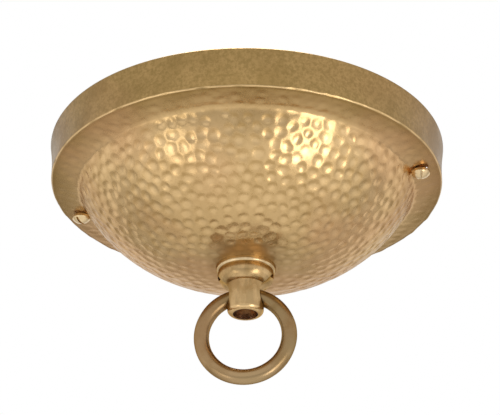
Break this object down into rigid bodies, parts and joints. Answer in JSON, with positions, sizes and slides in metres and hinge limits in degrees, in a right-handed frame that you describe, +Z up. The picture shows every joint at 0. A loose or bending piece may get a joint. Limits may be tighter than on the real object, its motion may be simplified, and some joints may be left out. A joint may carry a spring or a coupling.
{
  "type": "ceiling canopy",
  "caption": "Round hammered dome canopy that covers a ceiling box and carries a hanging light from a ring through a hollow loop body.",
  "frame": {"origin": "middle of the rim in the ceiling plane, which is also the middle of the crossbar's top face", "axes": "+Z up to the ceiling, X along the crossbar through both canopy screws"},
  "size_m": [0.14, 0.14, 0.0877],
  "materials": {
    "hammered_brass": "aged satin, hammered",
    "turned_brass": "aged satin",
    "ring_brass": "aged satin",
    "screw_brass": "polished",
    "zinc_steel": "zinc plated",
    "green_steel": "green"
  },
  "bodies": {
    "canopy_body": {"canopy": "hammered_brass", "seat_washer": "turned_brass", "loop_body": "turned_brass", "stem": "zinc_steel", "flat_washer": "zinc_steel", "lock_washer": "zinc_steel", "locknut": "zinc_steel", "crossbar": "zinc_steel", "canopy_screws": "screw_brass", "ground_screw": "green_steel"},
    "ring_body": {"ring": "ring_brass"}
  },
  "joints": [
    {"name": "ring_swing", "type": "hinge", "parent": "canopy_body", "child": "ring_body", "pos_m": [0, 0, -0.0551], "axis": [0.9848, 0.1736, 0], "range_deg": [-108, 108]}
  ]
}
